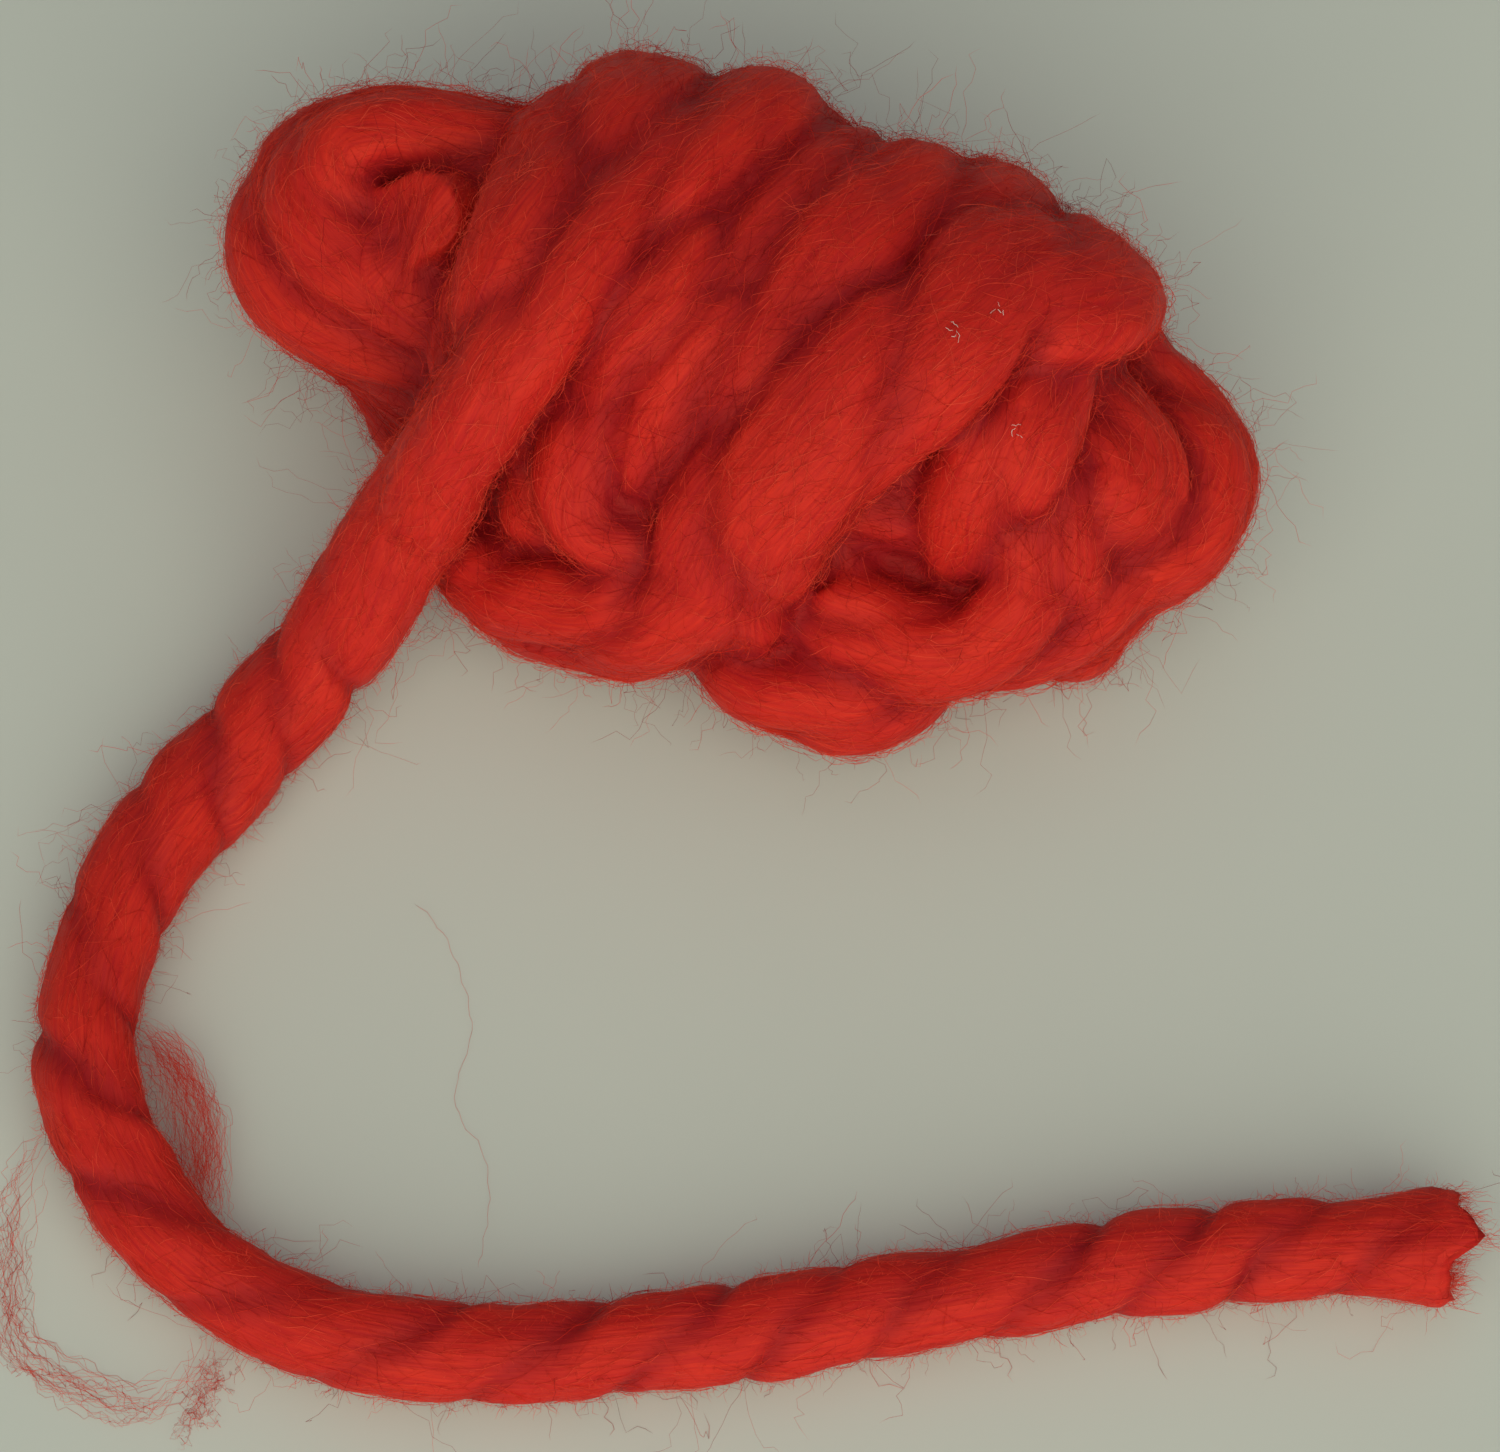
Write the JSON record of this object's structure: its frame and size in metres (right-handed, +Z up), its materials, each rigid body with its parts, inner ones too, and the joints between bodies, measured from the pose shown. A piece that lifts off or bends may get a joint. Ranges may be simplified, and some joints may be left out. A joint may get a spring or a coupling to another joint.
{
  "type": "ball of yarn",
  "caption": "Oblong hand-wound ball of thick, softly twisted two-ply red yarn with a loose end lying in an open curve.",
  "frame": {"origin": "on the surface that the ball rests on, under the middle of the ball", "axes": "+Z up, +X to the right in the picture, roughly along the ball, +Y to the far side"},
  "size_m": [0.1136, 0.1082, 0.0416],
  "materials": {
    "red_yarn": "soft fuzzy wool, matte"
  },
  "bodies": {
    "root": {"yarn_ball": "red_yarn", "loose_end": "red_yarn"}
  },
  "joints": []
}
